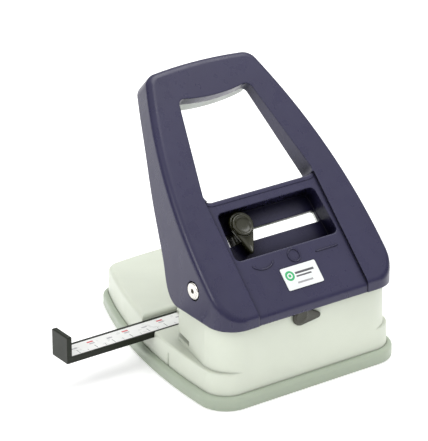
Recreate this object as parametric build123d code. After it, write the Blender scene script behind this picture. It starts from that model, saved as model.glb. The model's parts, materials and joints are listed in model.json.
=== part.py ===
"""Three-station card punch: corner rounder, round hole and slot.

X runs across the machine, +Y is the card side with the rear deck, +Z is up.
The origin is the middle of the base footprint on the table. Millimetres.
"""
from build123d import *
from math import atan2, cos, degrees, radians, sin, sqrt, tan
import os

os.makedirs("parts", exist_ok=True)

# ---- driving dimensions -------------------------------------------------
BASE_HALF_WIDTH = 55.3      # tray rim, at its widest
BASE_FRONT = -69.0
BASE_REAR = 69.0
SIDE_ARC_Y = -50.0          # the sides start to bow inwards here
SIDE_ARC_RADIUS = 285.0
BASE_FRONT_CORNER = 15.0
BASE_REAR_CORNER = 11.0
REAR_BOW = 1.5
TRAY_FLOOR = 2.4
PAD_R, PAD_T = 5.0, 1.2     # grip pads, let in flush with the underside
PADS = [(-42, -54), (42, -54), (-24, 54), (24, 54)]
TRAY_TOP = 7.0
BODY_INSET = 2.7            # housing inside the tray rim
BODY_SEAT = 4.6             # lower edge of the housing, inside the rim
WALL = 2.2
LEDGE = 18.2                # top of the housing beside the head and at the ruler
DECK = 20.8                 # top of the rear deck
DECK_FRONT = 6.5

HEAD_HALF_WIDTH = 49.9      # at the top
HEAD_REAR_HALF_WIDTH = 43.1
HEAD_FRONT = -65.4
HEAD_REAR = -18.4
HEAD_TOP = 44.5
HEAD_CORNER = 12.3
HEAD_DRAFT = 0.9            # walls lean out by this much from the head's top to the tray

LEDGE_ROUND = 0.9
CATCH_Y = -22.0             # notches for the tray's catches
SPRING_X = (-34.0, -14.0)
KEEPER_SCREWS = [(-12, -12.5), (34, -12.5)]

DIE_TOP = 20.2
THROAT_TOP = 22.8
THROAT_BACK = -33.0
GUIDE_TOP = 34.0
SPRING_PLATE = (40.0, 42.0)
FRAME_X = 40.0              # inner face of the frame side plates
PLATE_T = 2.0

PIVOT_Y, PIVOT_Z = -43.5, 54.6
PIN_R = 3.0
PIN_CLEARANCE = 0.04
PUNCH_Y = -28.0
STATIONS = {"corner": -17.0, "round": 0.0, "slot": 17.0}
PUNCH_REST = 23.2           # cutting edges at rest
PUNCH_CAP = 54.3            # top of the punch heads at rest
CAP_T = 3.0
SHANK_R = 2.5
SHANK_FOOT = 39.5           # cutter section below, round shank above
FIT = 0.05

FACE_ANGLE = 44.0           # slope of the handle's face
FACE_Y, FACE_Z = -69.2, 46.0    # lower edge of the face, where s = 0
HANDLE_HALF_WIDTH = 51.7
HANDLE_ARC_S = 20.0
HANDLE_ARC_RADIUS = 292.0
HANDLE_TOP_S = 131.6
HANDLE_FRONT = -69.0
HANDLE_BOTTOM = 40.8
SKIN = 1.3
FACE_T = 3.2
EDGE_ROUND = 3.5
PANEL_DROP = 1.2            # centre panel, lower than the side rails
PANEL_HALF_WIDTH = 32.0
PANEL_BACK = 0.4            # the panel's front lies this far behind the skirt's
POCKET_DEPTH = 9.5
POCKET_FLOOR = 2.0
SLOT_S = 42.1
SLOT_WIDTH = 6.2
SLOT_HALF = 29.0            # half length of the selector slot
WEAR_T = 1.4                # wear plate under the pocket floor

RULER = (-7.0, 6.0)         # front and rear edge of the ruler bar
RULER_Z = (15.2, 18.2)
RULER_X = (-98.5, -5.0)
STOP_TOP = 29.0

LOCK_X, LOCK_Z = -6.0, 37.9
LOCK_R = 4.7
LOCK_BACK = HEAD_FRONT - 0.7    # clear of the sloping front wall


def save(name, shape):
    """Write one piece under its own name."""
    export_step(shape, f"parts/{name}.step")


def box(x, y, z):
    """A box from three (low, high) pairs."""
    size = (x[1] - x[0], y[1] - y[0], z[1] - z[0])
    return Pos((x[0] + x[1]) / 2, (y[0] + y[1]) / 2, (z[0] + z[1]) / 2) * Box(*size)


def rod_x(y, z, radius, x0, x1):
    """A round rod along X."""
    return Pos((x0 + x1) / 2, y, z) * Rot(0, 90, 0) * Cylinder(radius, x1 - x0)


def rod_y(x, z, radius, y0, y1):
    """A round rod along Y."""
    return Pos(x, (y0 + y1) / 2, z) * Rot(90, 0, 0) * Cylinder(radius, y1 - y0)


def rod_z(x, y, radius, z0, z1):
    """An upright round rod."""
    return Pos(x, y, (z0 + z1) / 2) * Cylinder(radius, z1 - z0)


def prism(face, z0, z1):
    """A flat outline raised from z0 to z1."""
    return Pos(0, 0, z0) * extrude(face, z1 - z0)


# ---- outlines -----------------------------------------------------------
def base_outline(margin=0.0):
    """Keystone plan: straight front, bowed sides that close to the rear, drawn in by a margin."""
    wide, radius = BASE_HALF_WIDTH - margin, SIDE_ARC_RADIUS - margin
    front, back = BASE_FRONT + margin, BASE_REAR - margin

    def side(y):
        return wide - radius + sqrt(radius ** 2 - (y - SIDE_ARC_Y) ** 2)

    rear, middle_y = side(back), (SIDE_ARC_Y + back) / 2
    edges = [
        Line((-wide, front), (wide, front)),
        Line((wide, front), (wide, SIDE_ARC_Y)),
        ThreePointArc((wide, SIDE_ARC_Y), (side(middle_y), middle_y), (rear, back)),
        ThreePointArc((rear, back), (0, back + REAR_BOW), (-rear, back)),
        ThreePointArc((-rear, back), (-side(middle_y), middle_y), (-wide, SIDE_ARC_Y)),
        Line((-wide, SIDE_ARC_Y), (-wide, front)),
    ]
    face = make_face(edges)
    face = fillet([v for v in face.vertices() if v.Y < front + 1], BASE_FRONT_CORNER - margin)
    return fillet([v for v in face.vertices() if v.Y > back - 1], BASE_REAR_CORNER - margin)


def head_outline(margin=0.0):
    """Plan of the head: straight front, side walls that close a little to the rear."""
    wide, narrow = HEAD_HALF_WIDTH - margin, HEAD_REAR_HALF_WIDTH - margin
    front, rear = HEAD_FRONT + margin, HEAD_REAR - margin
    face = make_face(Polyline((-wide, front), (wide, front), (wide, SIDE_ARC_Y), (narrow, rear),
                              (-narrow, rear), (-wide, SIDE_ARC_Y), close=True))
    corners = [v for v in face.vertices() if v.Y < HEAD_FRONT + margin + 1]
    face = fillet(corners, HEAD_CORNER - margin)
    corners = [v for v in face.vertices() if v.Y > HEAD_REAR - margin - 1]
    return fillet(corners, 4.0 - margin)


BASE = base_outline()
BODY = base_outline(BODY_INSET)


# ---- base and housing ---------------------------------------------------
def base_tray():
    """Soft tray that catches the punched chips and forms the rim round the machine."""
    tray = prism(BASE, 0, TRAY_TOP)
    tray = fillet(tray.edges().group_by(Axis.Z)[-1], 2.2)
    tray = fillet(tray.edges().group_by(Axis.Z)[0], 1.2)
    tray -= prism(base_outline(BODY_INSET - 0.1), BODY_SEAT, TRAY_TOP + 1)
    tray -= prism(base_outline(7.0), TRAY_FLOOR, TRAY_TOP)
    for x, y in PADS:
        tray -= rod_z(x, y, PAD_R, -1, PAD_T)
    return tray


def rubber_feet():
    """Four grip pads let into the tray."""
    return Compound(children=[rod_z(x, y, PAD_R, 0, PAD_T) for x, y in PADS])


def drafted(outline, top):
    """An outline carried up from the seat with the walls' draft."""
    draft = degrees(atan2(HEAD_DRAFT, HEAD_TOP - BODY_SEAT))
    return extrude(Pos(0, 0, BODY_SEAT) * outline, top - BODY_SEAT, taper=draft)


def housing():
    """One moulding: front ledge, ruler channel, rear deck and the head with its card throat."""
    body = drafted(BODY, LEDGE)
    body = fillet(body.edges().group_by(Axis.Z)[-1], LEDGE_ROUND)
    deck = drafted(BODY, DECK) & box((-70, 70), (DECK_FRONT, 90), (0, DECK + 1))
    body += fillet(deck.edges().group_by(Axis.Z)[-1], 2.4)
    head = drafted(head_outline(-HEAD_DRAFT), HEAD_TOP)
    body += fillet(head.edges().group_by(Axis.Z)[-1], 2.0)
    hollow = base_outline(BODY_INSET + WALL)
    spaces = [(-90, RULER[0] - 2.2, LEDGE - 2.4), (RULER[0] - 2.2, RULER[1] + 2.4, RULER_Z[0] - 2.2),
              (RULER[1] + 2.4, 90, DECK - 2.4)]
    for y0, y1, top in spaces:
        strip = hollow & Pos(0, (y0 + y1) / 2) * Rectangle(300, y1 - y0)
        body -= prism(strip, BODY_SEAT - 1, top)
    body -= prism(head_outline(WALL), LEDGE, HEAD_TOP - WALL)
    body -= box((-70, 44), (RULER[0] - 0.25, RULER[1] + 0.25), (RULER_Z[0] - 0.1, LEDGE + 0.05))
    body -= box((-38, 38), (-50, -22.5), (10, LEDGE + 1))
    body -= box((SPRING_X[0] - 1, SPRING_X[1] + 1), (-3.2, 2.2), (RULER_Z[0] - 1.3, RULER_Z[0]))
    for x, y in KEEPER_SCREWS:
        body -= rod_z(x, y, 1.5, LEDGE - 3, LEDGE + 1)
    for sign in (-1, 1):
        body -= box(sorted((sign * 50.7, sign * 54)), (CATCH_Y - 0.7, CATCH_Y + 0.7), (BODY_SEAT, 13.6))
    plates = FRAME_X + PLATE_T + 0.4
    body -= box((-plates, plates), (-57, -30.5), (HEAD_TOP - 4, HEAD_TOP + 1))
    body -= box((-FRAME_X, FRAME_X), (-57, HEAD_REAR - 3.2), (HEAD_TOP - 4, HEAD_TOP + 1))
    body -= box((-60, 60), (THROAT_BACK, HEAD_REAR + 5), (DIE_TOP, THROAT_TOP))
    body -= rod_y(LOCK_X, LOCK_Z, 2.05, HEAD_FRONT - 1, HEAD_FRONT + WALL + 1)
    return body


# ---- punching frame -----------------------------------------------------
def slot_outline(length, width):
    """A long hole with round ends."""
    return SlotOverall(length, width)


def corner_outline(grow=0.0):
    """Section of the corner cutter: a square with a round bite out of one corner."""
    size = 9.0
    face = Rectangle(size + 2 * grow, size + 2 * grow)
    return face - Pos(size / 2, size / 2) * Circle(5.0 - grow)


def station(face, name):
    """Move a cutter outline to its station."""
    return Pos(STATIONS[name], PUNCH_Y) * face


def round_corners(block):
    """Round the two upright rear corners, which stand in the cover's corners."""
    upright = [e for e in block.edges().filter_by(Axis.Z) if e.center().Y > HEAD_REAR - 3 and e.length > 1.9]
    return fillet([e for e in upright if abs(e.center().X) > FRAME_X - 1], 2.0)


def die_plate():
    """Steel plate with one die for each cutter."""
    plate = box((-FRAME_X, FRAME_X), (-56, HEAD_REAR - 2.6), (LEDGE, DIE_TOP))
    for name, face in cutters(FIT + 0.03).items():
        plate -= prism(station(face, name), LEDGE - 1, DIE_TOP + 1)
    for x in SCREW_X:
        plate -= rod_z(x, SCREW_Y, 1.6, LEDGE - 1, DIE_TOP + 1)
    return round_corners(plate)


def cutters(grow=0.0):
    """The three cutter sections, grown on all sides by a clearance."""
    return {"corner": corner_outline(grow), "round": Circle(2.5 + grow),
            "slot": slot_outline(15.0 + 2 * grow, 3.2 + 2 * grow)}


SCREW_X = (-34.5, -9.5, 9.5, 34.5)
SCREW_Y = -35.5


def guide_block():
    """Block that guides the three cutters, screwed on the die plate."""
    block = box((-FRAME_X, FRAME_X), (-39, HEAD_REAR - 2.6), (THROAT_TOP, GUIDE_TOP))
    for name, face in cutters(FIT).items():
        block -= prism(station(face, name), THROAT_TOP - 1, GUIDE_TOP + 1)
    for x in SCREW_X:
        block -= rod_z(x, SCREW_Y, 1.6, THROAT_TOP - 1, THROAT_TOP + 8)
    return round_corners(block)


def back_stop():
    """Spacer at the back of the throat, which the card's edge meets."""
    stop = box((-FRAME_X, FRAME_X), (-39, THROAT_BACK), (DIE_TOP, THROAT_TOP))
    for x in SCREW_X:
        stop -= rod_z(x, SCREW_Y, 1.6, DIE_TOP - 1, THROAT_TOP + 1)
    return stop


def frame_screws():
    """Screws from below that hold die plate, stop and guide block together."""
    screws = []
    for x in SCREW_X:
        head = rod_z(x, SCREW_Y, 2.8, LEDGE - 2.0, LEDGE)
        head -= box((x - 2, x + 2), (SCREW_Y - 0.4, SCREW_Y + 0.4), (LEDGE - 2.5, LEDGE - 1.2))
        screws.append(head + rod_z(x, SCREW_Y, 1.55, LEDGE, THROAT_TOP + 7))
    return Compound(children=screws)


def side_plate(sign):
    """Frame plate at one side, with the ear that carries the pivot pin."""
    foot = Plane.YZ * make_face(Polyline(
        (-56, LEDGE), (-31, LEDGE), (-31, 36), (PIVOT_Y + 7.5, PIVOT_Z),
        (PIVOT_Y - 7.5, PIVOT_Z), (-56, 38), close=True))
    plate = extrude(foot, PLATE_T) + rod_x(PIVOT_Y, PIVOT_Z, 7.5, 0, PLATE_T)
    plate -= rod_x(PIVOT_Y, PIVOT_Z, PIN_R + 0.01, -1, PLATE_T + 1)
    plate -= box((-1, 3), (-34, -30), (DIE_TOP - 1, THROAT_TOP))
    start = FRAME_X if sign > 0 else -FRAME_X - PLATE_T
    return Pos(start, 0, 0) * plate


def spring_plate():
    """Bridge that seats the return springs and guides the punch shanks."""
    low, high = SPRING_PLATE
    plate = box((-FRAME_X, FRAME_X), (-37, HEAD_REAR - 2.8), (low, high))
    plate = fillet(plate.edges().filter_by(Axis.Z), 2.0)
    for x in (-FRAME_X + 3, FRAME_X - 3):
        plate += box((x - 3, x + 3), (-37, -31), (GUIDE_TOP, low + 0.5))
    for x in STATIONS.values():
        plate -= rod_z(x, PUNCH_Y, SHANK_R + FIT, low - 1, high + 1)
    return plate


def punch(name):
    """A cutter with its shank and cap, at rest."""
    face = cutters()[name]
    x = STATIONS[name]
    body = prism(station(face, name), PUNCH_REST, SHANK_FOOT)
    body += rod_z(x, PUNCH_Y, SHANK_R, SHANK_FOOT - 1.0, PUNCH_CAP - 0.5)
    cap = rod_z(x, PUNCH_Y, 5.0, PUNCH_CAP - CAP_T, PUNCH_CAP)
    return body + fillet(cap.edges().group_by(Axis.Z)[-1], 0.8)


def return_spring(name):
    """Coil spring between the spring plate and the cap."""
    low, high = SPRING_PLATE[1], PUNCH_CAP - CAP_T
    wire = 0.45
    height = high - low - 2 * wire - 0.1
    path = Helix(pitch=height / 4.5, height=height, radius=3.7)
    section = Plane(origin=path @ 0, z_dir=path % 0) * Circle(wire)
    coil = sweep(section, path=path, is_frenet=True)
    return Pos(STATIONS[name], PUNCH_Y, low + wire + 0.05) * coil


def pivot_pin(sign):
    """Hollow-headed pin that carries one side of the handle."""
    pin = rod_x(PIVOT_Y, PIVOT_Z, PIN_R, FRAME_X - 1.6, 50.6)
    head = rod_x(PIVOT_Y, PIVOT_Z, 4.2, 50.5, 52.2)
    pin += fillet(head.edges().group_by(Axis.X)[-1], 0.7)
    pin -= rod_x(PIVOT_Y, PIVOT_Z, 1.2, 49.0, 53)
    pin -= rod_x(PIVOT_Y, PIVOT_Z, 4.0, FRAME_X - 1.0, FRAME_X - 0.3) - rod_x(
        PIVOT_Y, PIVOT_Z, PIN_R - 0.6, FRAME_X - 2, FRAME_X)
    return pin if sign > 0 else mirror(pin, Plane.YZ)


def pivot_clips():
    """Spring clips in the grooves of the two pins."""
    clip = rod_x(PIVOT_Y, PIVOT_Z, 5.2, FRAME_X - 0.95, FRAME_X - 0.35)
    clip -= rod_x(PIVOT_Y, PIVOT_Z, PIN_R - 0.58, FRAME_X - 2, FRAME_X + 1)
    clip -= box((FRAME_X - 2, FRAME_X + 1), (PIVOT_Y - 2.2, PIVOT_Y + 2.2), (PIVOT_Z - 8, PIVOT_Z))
    return Compound(children=[clip, mirror(clip, Plane.YZ)])


# ---- handle -------------------------------------------------------------
SLOPE = Plane(origin=(0, FACE_Y, FACE_Z), x_dir=(1, 0, 0),
              z_dir=(0, -sin(radians(FACE_ANGLE)), cos(radians(FACE_ANGLE))))


def on_side(s, depth):
    """(Y, Z) of a point s up the slope and a depth below the face."""
    a = radians(FACE_ANGLE)
    return (FACE_Y + s * cos(a) + depth * sin(a), FACE_Z + s * sin(a) - depth * cos(a))


def handle_edge(s, margin=0.0):
    """Half width of the handle at s up the slope, drawn in by a margin."""
    along = max(0.0, s - HANDLE_ARC_S)
    radius = HANDLE_ARC_RADIUS - margin
    return HANDLE_HALF_WIDTH - margin - radius + sqrt(radius ** 2 - along ** 2)


def handle_plan(margin=0.0):
    """Face of the handle: bowed sides that close towards the grip bar."""
    top = HANDLE_TOP_S - 1.8 - margin
    wide, narrow = HANDLE_HALF_WIDTH - margin, handle_edge(top, margin)
    middle = handle_edge(75, margin)
    edges = [
        Line((-wide, -60), (wide, -60)), Line((wide, -60), (wide, HANDLE_ARC_S)),
        ThreePointArc((wide, HANDLE_ARC_S), (middle, 75), (narrow, top)),
        ThreePointArc((narrow, top), (0, HANDLE_TOP_S - margin), (-narrow, top)),
        ThreePointArc((-narrow, top), (-middle, 75), (-wide, HANDLE_ARC_S)),
        Line((-wide, HANDLE_ARC_S), (-wide, -60)),
    ]
    face = make_face(edges)
    return fillet([v for v in face.vertices() if v.Y > top - 1], 8.0 - margin)


def slope_prism(face, top, depth):
    """An outline on the face, carried from one depth below the face to another."""
    return SLOPE * (Pos(0, 0, -depth) * extrude(face, depth - top))


def side_prism(points, half_width=70):
    """A side-view polygon carried across the handle."""
    face = Plane.YZ * make_face(Polyline(*points, close=True))
    return extrude(face, half_width, both=True)


def handle_profile():
    """Side view: sloping face, skirt at the front, rear edge that deepens to the pivot."""
    rear = [on_side(131.6, 14.0), on_side(115, 13.3), on_side(98, 13.8), on_side(80, 17.0),
            on_side(57, 22.6), on_side(44, 27.4), on_side(33.5, 32.3), (-25.6, HANDLE_BOTTOM + 2.1),
            (-30.0, HANDLE_BOTTOM + 0.5)]
    edges = [
        Line((HANDLE_FRONT - 1, HANDLE_BOTTOM), (-56, HANDLE_BOTTOM)),
        Line((-56, HANDLE_BOTTOM), rear[-1]), Spline(*reversed(rear)),
        Line(rear[0], on_side(HANDLE_TOP_S + 2, 14.0)),
        Line(on_side(HANDLE_TOP_S + 2, 14.0), on_side(HANDLE_TOP_S + 2, 0)),
        Line(on_side(HANDLE_TOP_S + 2, 0), on_side(-2, 0)),
        Line(on_side(-2, 0), (HANDLE_FRONT - 1, HANDLE_BOTTOM)),
    ]
    return extrude(Plane.YZ * make_face(edges), 70, both=True)


def skirt_prism(margin=0.0):
    """Upright outline that rounds the skirt's two front corners."""
    wide = 2 * (HANDLE_HALF_WIDTH - margin)
    front = HANDLE_FRONT + margin
    face = Pos(0, front + 100) * RectangleRounded(wide + 0.02, 200, 13.0 - margin)
    return prism(face, 0, 200)


def window_face(grow=0.0):
    """Grip window: a trapezoid whose top edge swells down under the grip bar."""
    low, high = 60.0 - grow, 114.0 + grow
    wide, narrow = 32.6 + grow, 20.6 + grow
    edges = [
        Line((-wide, low), (wide, low)), Line((wide, low), (narrow, high)),
        ThreePointArc((narrow, high), (0, high - 2.4), (-narrow, high)),
        Line((-narrow, high), (-wide, low)),
    ]
    face = make_face(edges)
    return fillet(face.vertices(), 3.5 + grow)


def panel_face():
    """Centre panel: from below the skirt up into the window."""
    low, high = -50.0, 61.0
    return Pos(0, (low + high) / 2) * Rectangle(2 * PANEL_HALF_WIDTH, high - low)


def pocket_face(grow=0.0):
    """Selector pocket below the window."""
    low, high, wide, narrow = 28.6 - grow, 54.0 + grow, 30.2 + grow, 28.4 + grow
    face = make_face(Polyline((-wide, low), (wide, low), (narrow, high), (-narrow, high), close=True))
    return fillet(face.vertices(), 3.0 + grow)


def handle_shell():
    """One-piece lever: hollow shell with window, pocket, selector slot and pivot bosses."""
    shell = slope_prism(handle_plan(), 0, 110) & handle_profile() & skirt_prism()
    rim = [e for e in shell.edges() if touches_face(e)]
    shell = fillet(rim, EDGE_ROUND)
    lift = (PANEL_BACK * sin(radians(FACE_ANGLE)) - PANEL_DROP) / cos(radians(FACE_ANGLE))
    sunk = Pos(0, PANEL_BACK, lift) * shell
    shell -= slope_prism(panel_face(), -8, 50) - sunk
    inner = slope_prism(handle_plan(SKIN), FACE_T, 120) & skirt_prism(SKIN)
    shell -= inner
    window_wall = slope_prism(window_face(2.0), 1.0, 20)
    window_wall &= side_prism([on_side(50, 1), on_side(122, 1), on_side(122, 5.2), on_side(50, 11.6)])
    shell += window_wall
    pocket_wall = slope_prism(pocket_face(1.8), 1.5, POCKET_DEPTH + POCKET_FLOOR)
    shell += pocket_wall
    for sign in (-1, 1):
        x0, x1 = sorted((sign * 46.0, sign * (HANDLE_HALF_WIDTH - 1.0)))
        shell += rod_x(PIVOT_Y, PIVOT_Z, 6.5, x0, x1)
    shell -= slope_prism(window_face(), -2, 40)
    shell -= slope_prism(pocket_face(), -2, POCKET_DEPTH)
    shell -= slope_prism(selector_slot(), 5, 30)
    for sign in (-1, 1):
        bore = rod_x(PIVOT_Y, PIVOT_Z, PIN_R + PIN_CLEARANCE, 40, 60)
        bore += rod_x(PIVOT_Y, PIVOT_Z, 4.8, 50.4, 60)
        shell -= bore if sign > 0 else mirror(bore, Plane.YZ)
    return shell


def selector_slot(grow=0.0):
    """Slot in the pocket floor, along which the selector slides."""
    return Pos(0, SLOT_S) * RectangleRounded(2 * (SLOT_HALF + grow), SLOT_WIDTH + 2 * grow, 1.0)


def touches_face(edge):
    """True for the edges that bound the handle's face and its front and top ends."""
    a = radians(FACE_ANGLE)
    points = [edge @ t for t in (0.0, 0.5, 1.0)]
    heights = [-(p.Y - FACE_Y) * sin(a) + (p.Z - FACE_Z) * cos(a) for p in points]
    return all(abs(h) < 0.05 for h in heights)


def grip_liner():
    """Pale tray that closes the hollow grip bar from below."""
    low, high = 114.4, 128.0
    face = make_face([
        Line((-27.0, high - 0.6), (-24.0, low)),
        ThreePointArc((-24.0, low), (0, low - 2.4), (24.0, low)),
        Line((24.0, low), (27.0, high - 0.6)),
        ThreePointArc((27.0, high - 0.6), (0, high + 1.0), (-27.0, high - 0.6)),
    ])
    face = fillet(face.vertices(), 2.0)
    liner = slope_prism(face, 6.2, 13.2)
    liner -= slope_prism(Pos(0, 121.6) * RectangleRounded(46, 8.0, 2.0), 5, 11.4)
    for x in LINER_SCREWS:
        liner -= slope_prism(Pos(x, 122.4) * Circle(1.25), 5, 20)
    return liner


LINER_SCREWS = (-18.0, 18.0)


def liner_screws():
    """Two screws that hold the liner up against the grip bar."""
    screws = []
    for x in LINER_SCREWS:
        spot = Pos(x, 122.4)
        shank = slope_prism(spot * Circle(1.2), FACE_T, 13.2)
        head = slope_prism(spot * Circle(2.4), 13.2, 14.4)
        cross = slope_prism(spot * (Rectangle(3, 0.7) + Rectangle(0.7, 3)), 13.7, 15)
        screws.append(shank + head - cross)
    return Compound(children=screws)


def wear_plate():
    """Steel strip under the pocket floor, which the presser pushes against."""
    top = POCKET_DEPTH + POCKET_FLOOR
    face = Pos(0, SLOT_S) * RectangleRounded(62, 15, 2) - selector_slot()
    return slope_prism(face, top, top + WEAR_T)


def name_label():
    """Plain printed label on the centre panel."""
    face = Pos(0, 13.4) * RectangleRounded(20.4, 11.4, 0.8)
    return slope_prism(face, PANEL_DROP - 0.3, PANEL_DROP)


# ---- selector -----------------------------------------------------------
SELECTOR_X = STATIONS["corner"]


def pointer_face(radius, reach, tip):
    """Teardrop: a disc with two straight flanks to a small round tip."""
    disc = Circle(radius)
    nose = Pos(0, -reach) * Circle(tip)
    return make_hull([*disc.edges(), *nose.edges()])


def selector_knob():
    """Pointer knob that sits in the pocket: teardrop base, raised dished disc."""
    place = Pos(SELECTOR_X, SLOT_S + 2.2)
    pointer = place * Rot(0, 0, 10) * pointer_face(8.0, 9.8, 1.2)
    knob = slope_prism(pointer, POCKET_DEPTH - 4.2, POCKET_DEPTH - 0.15)
    knob = fillet(knob.faces().sort_by(SLOPE_AXIS)[-1].edges(), 1.0)
    crown_place = Pos(SELECTOR_X, SLOT_S)
    crown = slope_prism(crown_place * Circle(6.0), POCKET_DEPTH - 6.6, POCKET_DEPTH - 4.0)
    knob += fillet(crown.faces().sort_by(SLOPE_AXIS)[-1].edges(), 0.8)
    knob -= slope_prism(crown_place * Circle(4.4), 0, POCKET_DEPTH - 5.6)
    neck = Pos(SELECTOR_X, SLOT_S) * Rectangle(6.0, SLOT_WIDTH - 0.5)
    top = POCKET_DEPTH - 2
    knob += slope_prism(neck, top, PRESSER_TOP)
    knob -= slope_prism(Pos(SELECTOR_X, SLOT_S) * Circle(1.25), 7.0, 20)
    return knob


SLOPE_AXIS = Axis((0, 0, 0), tuple(SLOPE.z_dir))
PRESSER_TOP = POCKET_DEPTH + POCKET_FLOOR + WEAR_T + 0.1
NOSE_R = 3.0


def selector_presser():
    """Steel block under the slot, with the round nose that drives the punch below it."""
    y, z = PUNCH_Y, PUNCH_CAP + 0.3 + NOSE_R
    half = 4.5
    corners = [on_side(36.0, PRESSER_TOP), on_side(47.0, PRESSER_TOP), on_side(47.0, PRESSER_TOP + 2.6),
               (y + NOSE_R, z), (y - NOSE_R, z), on_side(34.0, PRESSER_TOP + 3.6),
               on_side(36.0, PRESSER_TOP)]
    block = side_prism(corners[:-1], half) + rod_x(y, z, NOSE_R, -half, half)
    block = Pos(SELECTOR_X, 0, 0) * block
    hole = slope_prism(Pos(SELECTOR_X, SLOT_S) * Circle(1.25), 5, 40)
    head = slope_prism(Pos(SELECTOR_X, SLOT_S) * Circle(2.6), PRESSER_TOP + 2.2, 40)
    return block - hole - head


def selector_screw():
    """Screw from below that ties presser and knob together."""
    spot = Pos(SELECTOR_X, SLOT_S)
    shank = slope_prism(spot * Circle(1.2), 7.2, PRESSER_TOP + 2.3)
    head = slope_prism(spot * Circle(2.4), PRESSER_TOP + 2.2, PRESSER_TOP + 3.6)
    return shank + head


# ---- ruler --------------------------------------------------------------
def ruler_bar():
    """Side guide: flat bar with an upturned end stop."""
    bar = box(RULER_X, RULER, RULER_Z)
    stop = box((RULER_X[0], RULER_X[0] + 2.6), (RULER[0], RULER[1]), (RULER_Z[0], STOP_TOP))
    bar += stop
    top = bar.edges().group_by(Axis.Z)[-1]
    bar = fillet(top, 0.6)
    bar -= box((RULER_X[0] + 3.2, RULER_X[1] - 3), (RULER[0] + 1.0, RULER[1] - 1.6),
               (RULER_Z[1] - 0.3, RULER_Z[1] + 1))
    return bar


def ruler_label():
    """White scale strip let into the top of the bar."""
    return box((RULER_X[0] + 3.3, RULER_X[1] - 3.1), (RULER[0] + 1.1, RULER[1] - 1.7),
               (RULER_Z[1] - 0.3, RULER_Z[1] - 0.02))


def ruler_keeper():
    """Plate that closes the channel beside the head and keeps the bar down."""
    face = Pos(6, -4.9) * RectangleRounded(68, 21.6, 2.5)
    plate = prism(face, LEDGE + 0.1, LEDGE + 1.6)
    for x, y in KEEPER_SCREWS:
        plate -= rod_z(x, y, 1.5, LEDGE - 1, LEDGE + 3)
    return plate


def keeper_screws():
    """Two screws through the keeper plate."""
    screws = []
    for x, y in KEEPER_SCREWS:
        head = fillet(rod_z(x, y, 2.6, LEDGE + 1.6, LEDGE + 2.4).edges().group_by(Axis.Z)[-1], 0.5)
        head -= box((x - 2, x + 2), (y - 0.3, y + 0.3), (LEDGE + 2.0, LEDGE + 3))
        screws.append(rod_z(x, y, 1.45, LEDGE - 2.4, LEDGE + 1.7) + head)
    return Compound(children=screws)


def ruler_spring():
    """Arched steel strip that rubs on the bar and holds it where it is put."""
    low, high, middle = RULER_Z[0] - 1.25, RULER_Z[0] - 0.55, sum(SPRING_X) / 2
    thick = 0.4
    under = ThreePointArc((SPRING_X[0], low), (middle, high), (SPRING_X[1], low))
    over = ThreePointArc((SPRING_X[1], low + thick), (middle, high + thick), (SPRING_X[0], low + thick))
    ends = [Line((SPRING_X[1], low), (SPRING_X[1], low + thick)),
            Line((SPRING_X[0], low + thick), (SPRING_X[0], low))]
    strip = Plane.XZ * make_face([under, ends[0], over, ends[1]])
    return Pos(0, 2.0, 0) * extrude(strip, 5.0)


# ---- handle lock --------------------------------------------------------
def lock_knob():
    """Pointer knob on the front wall, under the skirt."""
    outline = Rot(0, 0, 79) * pointer_face(LOCK_R, 10.0, 1.6)
    front = Plane(origin=(LOCK_X, LOCK_BACK, LOCK_Z), x_dir=(1, 0, 0), z_dir=(0, -1, 0))
    knob = extrude(front * outline, 1.2)
    return fillet(knob.faces().sort_by(Axis.Y)[0].edges(), 0.7)


def lock_shaft():
    """Shaft of the lock, with the cam behind the wall."""
    shaft = rod_y(LOCK_X, LOCK_Z, 2.0, LOCK_BACK, HEAD_FRONT + 7.0)
    cam = rod_y(LOCK_X, LOCK_Z, 2.9, HEAD_FRONT + 4.0, HEAD_FRONT + 7.0)
    cam &= box((LOCK_X - 2.4, LOCK_X + 6), (HEAD_FRONT, HEAD_FRONT + 9), (LOCK_Z - 6, LOCK_Z + 6))
    groove = rod_y(LOCK_X, LOCK_Z, 4, HEAD_FRONT + 2.5, HEAD_FRONT + 3.2)
    groove -= rod_y(LOCK_X, LOCK_Z, 1.5, HEAD_FRONT + 2, HEAD_FRONT + 4)
    return shaft + cam - groove


def lock_clip():
    """Clip that keeps the lock shaft in the wall."""
    clip = rod_y(LOCK_X, LOCK_Z, 2.95, HEAD_FRONT + 2.55, HEAD_FRONT + 3.15)
    clip -= rod_y(LOCK_X, LOCK_Z, 1.52, HEAD_FRONT + 2, HEAD_FRONT + 4)
    return clip - box((LOCK_X - 1.1, LOCK_X + 1.1), (HEAD_FRONT, HEAD_FRONT + 6), (LOCK_Z - 6, LOCK_Z))


if __name__ == "__main__":
    pieces = {
        "base_tray": base_tray, "rubber_feet": rubber_feet, "housing": housing,
        "die_plate": die_plate, "guide_block": guide_block,
        "back_stop": back_stop, "frame_screws": frame_screws, "spring_plate": spring_plate,
        "pivot_clips": pivot_clips, "handle_shell": handle_shell, "grip_liner": grip_liner,
        "liner_screws": liner_screws, "wear_plate": wear_plate, "name_label": name_label,
        "selector_knob": selector_knob, "selector_presser": selector_presser,
        "selector_screw": selector_screw, "ruler_bar": ruler_bar, "ruler_label": ruler_label,
        "ruler_keeper": ruler_keeper, "keeper_screws": keeper_screws, "ruler_spring": ruler_spring,
        "lock_knob": lock_knob, "lock_shaft": lock_shaft, "lock_clip": lock_clip,
    }
    for name, make in pieces.items():
        save(name, make())
    for side, sign in (("left", -1), ("right", 1)):
        save(f"side_plate_{side}", side_plate(sign))
        save(f"pivot_pin_{side}", pivot_pin(sign))
    for name in STATIONS:
        save(f"{name}_punch", punch(name))
        save(f"{name}_spring", return_spring(name))
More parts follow.
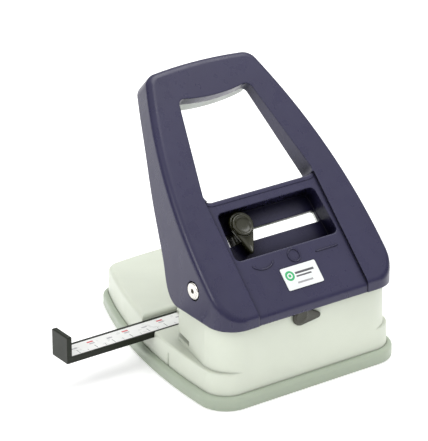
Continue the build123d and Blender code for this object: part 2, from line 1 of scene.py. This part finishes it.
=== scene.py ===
"""Table-top card punch with a loop handle: fine parts, finishes, studio and camera.

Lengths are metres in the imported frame: X across, +Y the card side, +Z up, table at Z 0.
"""
import json
from math import atan2, cos, pi, radians, sin

import bpy
import numpy as np
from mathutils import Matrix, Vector


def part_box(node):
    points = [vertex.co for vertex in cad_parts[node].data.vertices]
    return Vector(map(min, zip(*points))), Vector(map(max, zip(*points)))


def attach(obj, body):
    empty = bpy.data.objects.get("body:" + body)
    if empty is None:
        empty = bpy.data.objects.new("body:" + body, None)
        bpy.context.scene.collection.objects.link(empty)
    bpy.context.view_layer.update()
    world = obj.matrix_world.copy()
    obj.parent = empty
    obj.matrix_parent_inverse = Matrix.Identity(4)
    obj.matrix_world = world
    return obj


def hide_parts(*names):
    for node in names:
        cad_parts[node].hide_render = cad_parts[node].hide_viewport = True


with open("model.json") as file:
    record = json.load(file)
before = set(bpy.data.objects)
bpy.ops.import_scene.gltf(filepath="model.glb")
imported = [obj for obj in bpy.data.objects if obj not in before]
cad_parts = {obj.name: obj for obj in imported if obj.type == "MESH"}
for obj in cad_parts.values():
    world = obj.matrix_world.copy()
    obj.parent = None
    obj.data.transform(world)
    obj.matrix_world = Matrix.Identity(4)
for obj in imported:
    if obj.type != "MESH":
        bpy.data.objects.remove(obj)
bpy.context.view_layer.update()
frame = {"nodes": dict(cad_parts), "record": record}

MM = 0.001
SLOPE = radians(44.0)                     # the handle's face above the table
FACE_FOOT = (-69.2 * MM, 46.0 * MM)       # (y, z) of the face's lower edge
PANEL_DROP = 1.2 * MM                     # the centre panel lies this far below the side rails
POCKET_DEPTH = 9.5 * MM
SLOPE_TURN = (-SLOPE, 0.0, 0.0)           # turns the face flat, for printed patterns


# ---- surfaces -----------------------------------------------------------
def on_face(across, along, height):
    """Points over the handle's face.

    y = foot + along * cos(slope) - height * sin(slope), z = foot + along * sin(slope)
    + height * cos(slope).
    """
    across, along, height = np.broadcast_arrays(across, along, height)
    y = FACE_FOOT[0] + along * cos(SLOPE) - height * sin(SLOPE)
    z = FACE_FOOT[1] + along * sin(SLOPE) + height * cos(SLOPE)
    return np.stack([across, y, z], -1)


def skin(name, grid, body, material, ends="cap"):
    """A closed surface from a grid of rings.

    Each row is one ring, whose last point joins its first. The ends are shut by a
    point at the mean of the end ring, or the last ring joins the first ("loop").
    """
    rows, cols = grid.shape[:2]
    points = grid.reshape(-1, 3)
    steps = np.arange(rows if ends == "loop" else rows - 1)[:, None]
    here, there = steps * cols, (steps + 1) % rows * cols
    col = np.arange(cols)[None, :]
    following = (col + 1) % cols
    quads = np.stack([here + col, here + following, there + following, there + col], -1)
    faces = quads.reshape(-1, 4).tolist()
    if ends == "cap":
        points = np.concatenate([points, grid[:1].mean(1), grid[-1:].mean(1)])
        tops = np.full(cols, rows * cols)
        last = (rows - 1) * cols
        faces += np.stack([following[0], col[0], tops], -1).tolist()
        faces += np.stack([last + col[0], last + following[0], tops + 1], -1).tolist()
    mesh = bpy.data.meshes.new(name)
    mesh.from_pydata(points.tolist(), [], faces)
    mesh.polygons.foreach_set("use_smooth", np.ones(len(faces), dtype=bool))
    mesh.materials.append(material)
    piece = bpy.data.objects.new(name, mesh)
    bpy.context.scene.collection.objects.link(piece)
    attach(piece, body)
    return piece


def teardrop(angle, radius, reach, tip):
    """Distance from the disc's centre to the edge of a pointer, at an angle from its tip's direction.

    The outline is the hull of a disc and a small tip circle at the reach: the disc's radius
    behind the flanks, radius / cos(flank angle - angle) along a flank, and
    reach * cos + sqrt(tip squared - (reach * sin) squared) round the tip.
    """
    turn = np.abs((angle + pi) % (2 * pi) - pi)
    flank = np.arccos((radius - tip) / reach)
    tip_end = atan2(tip * sin(flank), reach + tip * cos(flank))
    along_flank = radius / np.cos(np.minimum(np.abs(flank - turn), 1.4))
    inside = np.maximum(tip ** 2 - (reach * np.sin(turn)) ** 2, 0.0)
    round_tip = reach * np.cos(turn) + np.sqrt(inside)
    return np.where(turn >= flank, radius, np.where(turn > tip_end, along_flank, round_tip))


def pointer_rings(stations, radius, reach, tip, heading, columns=144):
    """Rings (across, up, height) of a pointer knob.

    A station is (form, measure, height): form "drop" draws the teardrop in by the measure,
    and form "disc" is a plain circle of that radius.
    """
    angle = np.linspace(0, 2 * pi, columns, endpoint=False)
    rings = []
    for form, measure, height in stations:
        if form == "drop":
            away = teardrop(angle - heading, radius - measure, reach, max(tip - measure, 0.1 * MM))
        else:
            away = np.full(columns, measure)
        rings.append(np.stack([away * np.cos(angle), away * np.sin(angle), np.full(columns, height)], -1))
    return np.array(rings)


def quarter(form, inner, outer, low, high, count=6):
    """Stations that round an edge by a quarter of an ellipse, from (outer, low) to (inner, high)."""
    turn = np.linspace(0, pi / 2, count)
    return [(form, inner + (outer - inner) * cos(t), low + (high - low) * sin(t)) for t in turn]


def bead(path, radius, up, loop=False, columns=16):
    """Rings of a round bead along a path.

    Each ring is path + radius * (cos * side + sin * up), where side = direction x up. The radius
    falls to a third at both ends of an open path, as a quarter circle.
    """
    if loop:
        direction = np.roll(path, -1, 0) - np.roll(path, 1, 0)
    else:
        direction = np.gradient(path, axis=0)
    direction /= np.linalg.norm(direction, axis=1, keepdims=True)
    side = np.cross(direction, up)
    turn = np.linspace(0, 2 * pi, columns, endpoint=False)[None, :, None]
    size = np.full(len(path), radius)
    if not loop:
        from_end = np.minimum(np.arange(len(path)), np.arange(len(path))[::-1]) / 4.0
        size = radius * (0.33 + 0.67 * np.sqrt(1 - (1 - np.clip(from_end, 0, 1)) ** 2))
    return path[:, None] + size[:, None, None] * (np.cos(turn) * side[:, None] + np.sin(turn) * up)


# ---- finishes -----------------------------------------------------------
def new_finish(name):
    """An empty node material with its shader: (material, nodes, links, shader)."""
    material = bpy.data.materials.new(name)
    material.use_nodes = True
    tree = material.node_tree
    return material, tree.nodes, tree.links, tree.nodes["Principled BSDF"]


def noise(nodes, links, scale, detail, stretch=(1, 1, 1), turn=(0, 0, 0)):
    """Object-space noise, drawn out by a stretch: its Factor socket."""
    place = nodes.new("ShaderNodeTexCoord")
    mapping = nodes.new("ShaderNodeMapping")
    mapping.inputs["Scale"].default_value = stretch
    mapping.inputs["Rotation"].default_value = turn
    texture = nodes.new("ShaderNodeTexNoise")
    texture.inputs["Scale"].default_value = scale
    texture.inputs["Detail"].default_value = detail
    links.new(place.outputs["Object"], mapping.inputs["Vector"])
    links.new(mapping.outputs["Vector"], texture.inputs["Vector"])
    return texture.outputs["Factor"] if "Factor" in texture.outputs else texture.outputs["Fac"]


def spread(nodes, links, source, low, high, start=0.3, end=0.7):
    """A value carried from start..end to low..high."""
    node = nodes.new("ShaderNodeMapRange")
    node.inputs["From Min"].default_value = start
    node.inputs["From Max"].default_value = end
    node.inputs["To Min"].default_value = low
    node.inputs["To Max"].default_value = high
    links.new(source, node.inputs["Value"])
    return node.outputs["Result"]


def blend_colour(nodes, links, factor, first, second):
    """A colour between two, each a socket or a plain colour."""
    node = nodes.new("ShaderNodeMix")
    node.data_type = "RGBA"
    links.new(factor, node.inputs[0])
    for colour, socket in ((first, node.inputs[6]), (second, node.inputs[7])):
        if isinstance(colour, tuple):
            socket.default_value = (*colour, 1)
        else:
            links.new(colour, socket)
    return node.outputs[2]


def rounded_edges(nodes, links, width):
    """The surface's direction with its edges rounded by a width."""
    rounded = nodes.new("ShaderNodeBevel")
    rounded.samples = 6
    rounded.inputs["Radius"].default_value = width
    return rounded.outputs["Normal"]


def worn_edges(nodes, links, rounded):
    """0 on flat stretches and up to 1 on edges: 1 - (rounded normal . normal), stretched."""
    geometry = nodes.new("ShaderNodeNewGeometry")
    dot = nodes.new("ShaderNodeVectorMath")
    dot.operation = "DOT_PRODUCT"
    links.new(rounded, dot.inputs[0])
    links.new(geometry.outputs["Normal"], dot.inputs[1])
    return spread(nodes, links, dot.outputs["Value"], 1.0, 0.0, 0.86, 0.995)


def roughen(nodes, links, shader, height, strength, distance, under=None):
    """Fine relief on the shader's normal, over an earlier relief if there is one."""
    bump = nodes.new("ShaderNodeBump")
    bump.inputs["Strength"].default_value = strength
    bump.inputs["Distance"].default_value = distance
    links.new(height, bump.inputs["Height"])
    if under is not None:
        links.new(under, bump.inputs["Normal"])
    links.new(bump.outputs["Normal"], shader.inputs["Normal"])
    return bump.outputs["Normal"]


def moulded_plastic(name, colour, edge, roughness, grain=2600, relief=0.10, scuff=0.25, soft=0.0,
                    mirror=0.5, width=0.6 * MM, uneven=0.03, painted_shade_factor=0.8):
    """Moulded plastic: spark-eroded grain, slow shade drift, rubbed edges, patchy gloss, and painted shade
    in hollows (ambient occlusion darkens the base colour and the specular level).
    """
    material, nodes, links, shader = new_finish(name)
    drift = noise(nodes, links, 38, 3)
    patches = noise(nodes, links, 160, 5, (1, 1, 0.5))
    rounded = rounded_edges(nodes, links, width)
    edges = worn_edges(nodes, links, rounded)
    shade = tuple(c * (1 - uneven) for c in colour)
    light = tuple(min(1.0, c * (1 + uneven)) for c in colour)
    body = blend_colour(nodes, links, spread(nodes, links, drift, 0, 1), shade, light)
    rub = nodes.new("ShaderNodeMath")
    rub.operation = "MULTIPLY"
    links.new(edges, rub.inputs[0])
    links.new(spread(nodes, links, patches, 0.0, scuff), rub.inputs[1])
    body = blend_colour(nodes, links, rub.outputs[0], body, edge)
    # painted shade: ambient occlusion darkens the base colour towards a darker copy of it and lowers the
    # specular level in hollows, creases and under lips
    painted_shade_ao = nodes.new("ShaderNodeAmbientOcclusion")
    painted_shade_ao.samples = 6
    painted_shade_ao.inputs["Distance"].default_value = 18 * MM
    painted_shade_colour = tuple(c * painted_shade_factor for c in colour)
    painted_shade_mask = spread(nodes, links, painted_shade_ao.outputs["AO"], 0.0, 1.0, 0.45, 0.95)
    links.new(blend_colour(nodes, links, painted_shade_mask, painted_shade_colour, body), shader.inputs["Base Color"])
    links.new(spread(nodes, links, painted_shade_ao.outputs["AO"], mirror * painted_shade_factor, mirror, 0.45, 0.95),
              shader.inputs["Specular IOR Level"])
    links.new(spread(nodes, links, patches, roughness - 0.06, roughness + 0.06), shader.inputs["Roughness"])
    if soft:
        shader.inputs["Subsurface Weight"].default_value = soft
        shader.inputs["Subsurface Radius"].default_value = (1.0, 1.0, 0.8)
        shader.inputs["Subsurface Scale"].default_value = 2.0 * MM
    wave = roughen(nodes, links, shader, drift, 0.05, 0.4 * MM, rounded)
    roughen(nodes, links, shader, noise(nodes, links, grain, 2), relief, 0.05 * MM, wave)
    return material


def worked_metal(name, colour, roughness, lines, scale=900, relief=0.08):
    """Metal with tool marks: noise drawn out along the lines, bright edges, uneven polish."""
    material, nodes, links, shader = new_finish(name)
    marks = noise(nodes, links, scale, 3, lines)
    stain = noise(nodes, links, 120, 4)
    rounded = rounded_edges(nodes, links, 0.25 * MM)
    edges = worn_edges(nodes, links, rounded)
    dull = tuple(c * 0.82 for c in colour)
    bright = tuple(min(1.0, c * 1.15) for c in colour)
    body = blend_colour(nodes, links, spread(nodes, links, stain, 0, 1), dull, colour)
    links.new(blend_colour(nodes, links, edges, body, bright), shader.inputs["Base Color"])
    shader.inputs["Metallic"].default_value = 1.0
    links.new(spread(nodes, links, marks, roughness - 0.07, roughness + 0.08), shader.inputs["Roughness"])
    roughen(nodes, links, shader, marks, relief, 0.03 * MM, rounded)
    return material


def dab_rubber(name):
    """Matt rubber: coarse pebble grain with a dusty bloom."""
    material, nodes, links, shader = new_finish(name)
    pebble = noise(nodes, links, 1500, 3)
    bloom = noise(nodes, links, 70, 4)
    colour = blend_colour(nodes, links, spread(nodes, links, bloom, 0, 1), (0.028,) * 3, (0.06,) * 3)
    links.new(colour, shader.inputs["Base Color"])
    links.new(spread(nodes, links, pebble, 0.75, 0.92), shader.inputs["Roughness"])
    roughen(nodes, links, shader, pebble, 0.35, 0.1 * MM)
    return material


# the navy handle gets strong painted shade in its hollows (factor 0.12), which darkens its pocket and
# window walls
NAVY = moulded_plastic("navy handle plastic", (0.022, 0.020, 0.058), (0.07, 0.08, 0.15), 0.30,
                       mirror=0.42, width=0.9 * MM, uneven=0.06, painted_shade_factor=0.12)
PALE = moulded_plastic("pale housing plastic", (0.64, 0.68, 0.58), (0.78, 0.80, 0.74), 0.42, scuff=0.1,
                       soft=0.15)
VINYL = moulded_plastic("soft tray vinyl", (0.42, 0.48, 0.38), (0.58, 0.64, 0.54), 0.36, grain=900,
                        relief=0.05, soft=0.35)
LINER = moulded_plastic("grip liner plastic", (0.50, 0.53, 0.50), (0.7, 0.7, 0.7), 0.45)
BLACK = moulded_plastic("glossy knob plastic", (0.020, 0.020, 0.008), (0.12, 0.12, 0.08), 0.22, relief=0.03)
BAR = moulded_plastic("ruler bar plastic", (0.011, 0.014, 0.008), (0.09, 0.10, 0.08), 0.34, mirror=0.25)
STEEL = worked_metal("ground steel", (0.60, 0.60, 0.61), 0.30, (0.05, 1, 1))
ZINC = worked_metal("zinc plate", (0.66, 0.67, 0.66), 0.36, (1, 1, 1), 300)
NICKEL = worked_metal("nickel rivet", (0.76, 0.74, 0.69), 0.20, (1, 1, 1), 500, 0.04)
WIRE = worked_metal("spring wire", (0.50, 0.50, 0.52), 0.28, (1, 1, 0.1))
RUBBER = dab_rubber("pad rubber")

by_slot = {
    "navy_plastic": NAVY, "pale_plastic": PALE, "tray_vinyl": VINYL, "liner_plastic": LINER,
    "black_plastic": BLACK, "bar_plastic": BAR, "steel": STEEL, "zinc_steel": ZINC,
    "nickel": NICKEL, "spring_steel": WIRE, "rubber": RUBBER,
}


# ---- printed labels -----------------------------------------------------
class Print:
    """Nodes that draw flat shapes on a label from its own coordinates."""

    def __init__(self, name, centre, turn=(0.0, 0.0, 0.0)):
        self.material, self.nodes, self.links, self.shader = new_finish(name)
        place = self.nodes.new("ShaderNodeTexCoord")
        shift = self.nodes.new("ShaderNodeVectorMath")
        shift.operation = "SUBTRACT"
        shift.inputs[1].default_value = centre
        mapping = self.nodes.new("ShaderNodeMapping")
        mapping.inputs["Rotation"].default_value = turn
        mapping.inputs["Scale"].default_value = (1000, 1000, 1000)
        split = self.nodes.new("ShaderNodeSeparateXYZ")
        self.links.new(place.outputs["Object"], shift.inputs[0])
        self.links.new(shift.outputs["Vector"], mapping.inputs["Vector"])
        self.links.new(mapping.outputs["Vector"], split.inputs["Vector"])
        self.x, self.y = split.outputs["X"], split.outputs["Y"]

    def math(self, operation, a, b=0.0, c=0.0):
        """One arithmetic step on sockets or numbers."""
        node = self.nodes.new("ShaderNodeMath")
        node.operation = operation
        for value, socket in zip((a, b, c), node.inputs):
            if isinstance(value, (int, float)):
                socket.default_value = value
            else:
                self.links.new(value, socket)
        return node.outputs[0]

    def near(self, value, centre, half):
        """1 where the value is within half of the centre."""
        return self.math("COMPARE", value, float(centre), float(half))

    def both(self, a, b):
        """1 where both masks are 1."""
        return self.math("MULTIPLY", a, b)

    def box(self, x, y, half_x, half_y):
        """1 inside a rectangle, in millimetres."""
        return self.both(self.near(self.x, x, half_x), self.near(self.y, y, half_y))

    def ring(self, x, y, radius, half):
        """1 on a ring, in millimetres."""
        dx, dy = self.math("SUBTRACT", self.x, x), self.math("SUBTRACT", self.y, y)
        away = self.math("SQRT", self.math("ADD", self.both(dx, dx), self.both(dy, dy)))
        return self.near(away, radius, half)

    def every(self, pitch, half, low, high):
        """1 on marks at each pitch along X, between two heights."""
        half_pitch = 0.5 * pitch
        start = self.math("ADD", self.x, 40 * half_pitch)        # keeps the count above zero
        offset = self.math("PINGPONG", start, half_pitch)
        marks = self.math("LESS_THAN", offset, half)
        return self.both(marks, self.near(self.y, (low + high) / 2, (high - low) / 2))

    def finish(self, ground, inks, roughness):
        """Ground colour, then each (mask, colour) over it, under a lightly rippled film."""
        ripple = noise(self.nodes, self.links, 220, 3)
        colour = blend_colour(self.nodes, self.links, spread(self.nodes, self.links, ripple, 0, 1),
                              tuple(c * 0.96 for c in ground), ground)
        for mask, ink in inks:
            colour = blend_colour(self.nodes, self.links, mask, colour, ink)
        self.links.new(colour, self.shader.inputs["Base Color"])
        self.links.new(spread(self.nodes, self.links, ripple, roughness - 0.05, roughness + 0.05),
                       self.shader.inputs["Roughness"])
        roughen(self.nodes, self.links, self.shader, ripple, 0.05, 0.2 * MM)
        return self.material


def middle(node):
    """Middle of a CAD node's box."""
    low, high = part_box(node)
    return tuple((a + b) / 2 for a, b in zip(low, high))


def name_label_print():
    """White film with a green ring and three dark bars in place of wording."""
    film = Print("handle label film", middle("name_label"), SLOPE_TURN)
    dark, grey, green = (0.09, 0.09, 0.10), (0.35, 0.35, 0.36), (0.05, 0.42, 0.16)
    inks = [
        (film.ring(-6.4, 1.3, 2.0, 0.55), green), (film.ring(-6.4, 1.3, 0.0, 0.8), green),
        (film.box(2.3, 1.9, 5.4, 0.55), dark), (film.box(1.3, 0.2, 4.4, 0.4), dark),
        (film.box(0.6, -3.0, 4.4, 0.45), grey),
    ]
    return film.finish((0.80, 0.83, 0.82), inks, 0.28)


def scale_print():
    """White scale: a mark each 10 mm, half marks between, small red and grey blocks beside them."""
    film = Print("ruler scale film", (0.0, middle("ruler_label")[1], 0.0))
    dark, red = (0.16, 0.16, 0.17), (0.62, 0.10, 0.12)
    tens = film.every(10.0, 0.16, -4.6, -1.2)
    fives = film.every(5.0, 0.12, -4.6, -2.9)
    blocks = film.every(10.0, 1.5, 0.4, 1.4)
    red_blocks = film.every(20.0, 1.7, 2.1, 3.3)
    film_inks = [(tens, dark), (fives, dark), (blocks, (0.42, 0.42, 0.44)), (red_blocks, red)]
    return film.finish((0.82, 0.83, 0.81), film_inks, 0.30)


# ---- knobs, marks and other fine parts ----------------------------------
def round_box(wave):
    """A cosine or sine drawn out towards a square: sign * |wave| to the power 0.35."""
    return np.sign(wave) * np.abs(wave) ** 0.35


def selector_knob():
    """Pointer knob in the pocket and its neck through the slot.

    Teardrop plate on a smaller foot, then a stepped disc with a dish. The neck is a rounded
    box: half-width * round_box(cos), half-depth * round_box(sin).
    """
    radius, reach, tip = 6.3 * MM, 14.6 * MM, 0.9 * MM
    low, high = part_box("selector_knob")
    centre_x = (low[0] + high[0]) / 2
    slot_s, plate, crown = 42.1 * MM, (1.3 * MM, 47.2 * MM), (0.9 * MM, 46.1 * MM)
    foot, rim, top = -POCKET_DEPTH + 0.2 * MM, -6.4 * MM, -4.2 * MM
    stations = [("drop", 2.2 * MM, foot), ("drop", 2.0 * MM, rim - 0.3 * MM), ("drop", 0.4 * MM, rim),
                ("drop", 0.0, rim + 0.4 * MM)]
    stations += quarter("drop", 0.8 * MM, 0.0, top - 0.9 * MM, top)
    stations += [("drop", 1.2 * MM, top - 0.05 * MM), ("disc", 5.7 * MM, top - 0.02 * MM),
                 ("disc", 5.6 * MM, top + 0.15 * MM)]
    stations += quarter("disc", 4.9 * MM, 5.55 * MM, top + 0.6 * MM, top + 1.28 * MM)
    stations += [("disc", 4.4 * MM, top + 1.22 * MM), ("disc", 4.1 * MM, top + 0.9 * MM),
                 ("disc", 3.7 * MM, top + 0.5 * MM), ("disc", 2.6 * MM, top + 0.28 * MM),
                 ("disc", 1.0 * MM, top + 0.2 * MM)]
    rings = pointer_rings(stations, radius, reach, tip, radians(-95))
    on_plate = np.array([form == "drop" for form, _, _ in stations])[:, None]
    across = centre_x + np.where(on_plate, plate[0], crown[0])
    grid = on_face(across + rings[..., 0], np.where(on_plate, plate[1], crown[1]) + rings[..., 1],
                   rings[..., 2])
    piece = skin("selector_pointer_knob", grid, "selector", BLACK)
    neck_turn = np.linspace(0, 2 * pi, 48, endpoint=False)
    half_x, half_s = 3.0 * MM, 2.8 * MM
    neck_foot, neck_top = -12.9 * MM, -POCKET_DEPTH + 0.6 * MM
    neck = [on_face(centre_x + half_x * round_box(np.cos(neck_turn)),
                    slot_s + half_s * round_box(np.sin(neck_turn)), height)
            for height in (neck_foot, neck_top)]
    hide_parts("selector_knob")
    skin("selector_neck", np.array(neck), "selector", BLACK)


def lock_knob():
    """Pointer knob on the front wall: the same teardrop, thinner, with a raised boss."""
    low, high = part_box("lock_knob")
    radius, reach, tip = 4.7 * MM, 10.0 * MM, 1.6 * MM
    centre_x, centre_z = low[0] + radius, low[2] + radius
    back, front = high[1], low[1]
    thick = back - front
    stations = [("drop", 0.8 * MM, 0.0), ("drop", 0.0, 0.25 * MM)]
    stations += quarter("drop", 0.5 * MM, 0.0, thick - 0.8 * MM, thick - 0.3 * MM)
    stations += [("disc", 3.7 * MM, thick - 0.28 * MM)]
    stations += quarter("disc", 3.0 * MM, 3.5 * MM, thick - 0.2 * MM, thick)
    stations += [("disc", 2.2 * MM, thick - 0.1 * MM), ("disc", 0.9 * MM, thick - 0.2 * MM)]
    rings = pointer_rings(stations, radius, reach, tip, radians(-11))
    grid = np.stack([centre_x + rings[..., 0], back - rings[..., 2], centre_z + rings[..., 1]], -1)
    piece = skin("handle_lock_knob", grid, "lock", BLACK)
    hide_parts("lock_knob")


def station_marks():
    """Raised marks under the pocket, one for each cutter: a bow, a ring and a bar."""
    up = np.array([0.0, -sin(SLOPE), cos(SLOPE)])
    level, thick = -PANEL_DROP + 0.02 * MM, 0.38 * MM
    turn = np.linspace(radians(200), radians(340), 30)
    bow = on_face(-17 * MM + 6.4 * MM * np.cos(turn), 26.0 * MM + 4.4 * MM * np.sin(turn), level)
    turn = np.linspace(0, 2 * pi, 48, endpoint=False)
    ring = on_face(1.0 * MM + 3.2 * MM * np.cos(turn), 24.0 * MM + 3.2 * MM * np.sin(turn), level)
    bar = on_face(np.linspace(13.0 * MM, 26.5 * MM, 24), 22.7 * MM, level)
    for name, path, loop in (("corner_mark", bow, False), ("round_mark", ring, True),
                             ("slot_mark", bar, False)):
        skin(name, bead(path, thick, up, loop), "handle", NAVY,
             "loop" if loop else "cap")


slots = {row["node"]: row["material_slot"] for row in frame["record"]["subparts"]}
for name, node in frame["nodes"].items():
    finish = by_slot.get(slots[name])
    if finish is not None:
        node.data.materials.clear()
        node.data.materials.append(finish)
for name, film in (("name_label", name_label_print()), ("ruler_label", scale_print())):
    frame["nodes"][name].data.materials.clear()
    frame["nodes"][name].data.materials.append(film)

selector_knob()
lock_knob()
station_marks()


# ---- studio -------------------------------------------------------------
def studio_floor():
    """A wide pale table top with a faint matt grain."""
    material, nodes, links, shader = new_finish("pale table top")
    grain = noise(nodes, links, 300, 3)
    links.new(blend_colour(nodes, links, grain, (0.92, 0.92, 0.92), (0.95, 0.95, 0.95)),
              shader.inputs["Base Color"])
    shader.inputs["Roughness"].default_value = 0.7
    shader.inputs["Emission Color"].default_value = (1, 1, 1, 1)
    shader.inputs["Emission Strength"].default_value = 0.35
    half_width, lines = 6.0, 5
    span = np.linspace(-half_width, half_width, lines)
    x, y = np.meshgrid(span, span)
    mesh = bpy.data.meshes.new("table_top")
    cell = np.arange(lines - 1)
    corner = (cell[:, None] * lines + cell[None, :]).reshape(-1)
    faces = np.stack([corner, corner + 1, corner + lines + 1, corner + lines], -1)
    mesh.from_pydata(np.stack([x, y, np.zeros_like(x)], -1).reshape(-1, 3).tolist(), [], faces.tolist())
    mesh.materials.append(material)
    floor = bpy.data.objects.new("table_top", mesh)
    bpy.context.scene.collection.objects.link(floor)


def soft_light(name, place, aim, size, power):
    """A square softbox at a place, turned to its aim."""
    lamp = bpy.data.lights.new(name, "AREA")
    lamp.size, lamp.energy = size, power
    light = bpy.data.objects.new(name, lamp)
    light.location = place
    light.rotation_euler = (Vector(aim) - Vector(place)).to_track_quat("-Z", "Y").to_euler()
    bpy.context.scene.collection.objects.link(light)


def camera():
    """Long lens from the front left, a little above. The aim is a point on the table behind."""
    azimuth, elevation, distance = radians(-35.5), radians(24.0), 1.602
    aim = Vector((0.07426, 0.1164, 0.0))
    back = Vector((sin(azimuth) * cos(elevation), -cos(azimuth) * cos(elevation), sin(elevation)))
    lens = bpy.data.cameras.new("camera")
    lens.sensor_fit, lens.sensor_width, lens.lens = "HORIZONTAL", 36.0, 36.0 * 3000 / 428
    lens.clip_start, lens.clip_end = 0.05, 40.0
    eye = bpy.data.objects.new("camera", lens)
    eye.location = aim + back * distance
    eye.rotation_euler = (-back).to_track_quat("-Z", "Y").to_euler()
    bpy.context.scene.collection.objects.link(eye)
    bpy.context.scene.camera = eye


def surround():
    """Studio tent: bright ceiling that falls off to dark walls at the table's height."""
    world = bpy.data.worlds.new("studio")
    world.use_nodes = True
    nodes, links = world.node_tree.nodes, world.node_tree.links
    sky = nodes["Background"]
    direction = nodes.new("ShaderNodeTexCoord")
    split = nodes.new("ShaderNodeSeparateXYZ")
    links.new(direction.outputs["Generated"], split.inputs["Vector"])
    links.new(spread(nodes, links, split.outputs["Z"], 0.10, 0.95, 0.06, 0.6), sky.inputs["Strength"])
    sky.inputs["Color"].default_value = (1.0, 1.0, 1.0, 1.0)
    bpy.context.scene.world = world


studio_floor()
surround()
soft_light("key", (-1.2, -0.28, 0.85), (0, 0, 0.05), 0.5, 3.6)
soft_light("overhead", (0.4, 0.1, 1.5), (0, 0, 0.06), 1.2, 14)
camera()
bpy.context.scene.view_settings.view_transform = "Standard"
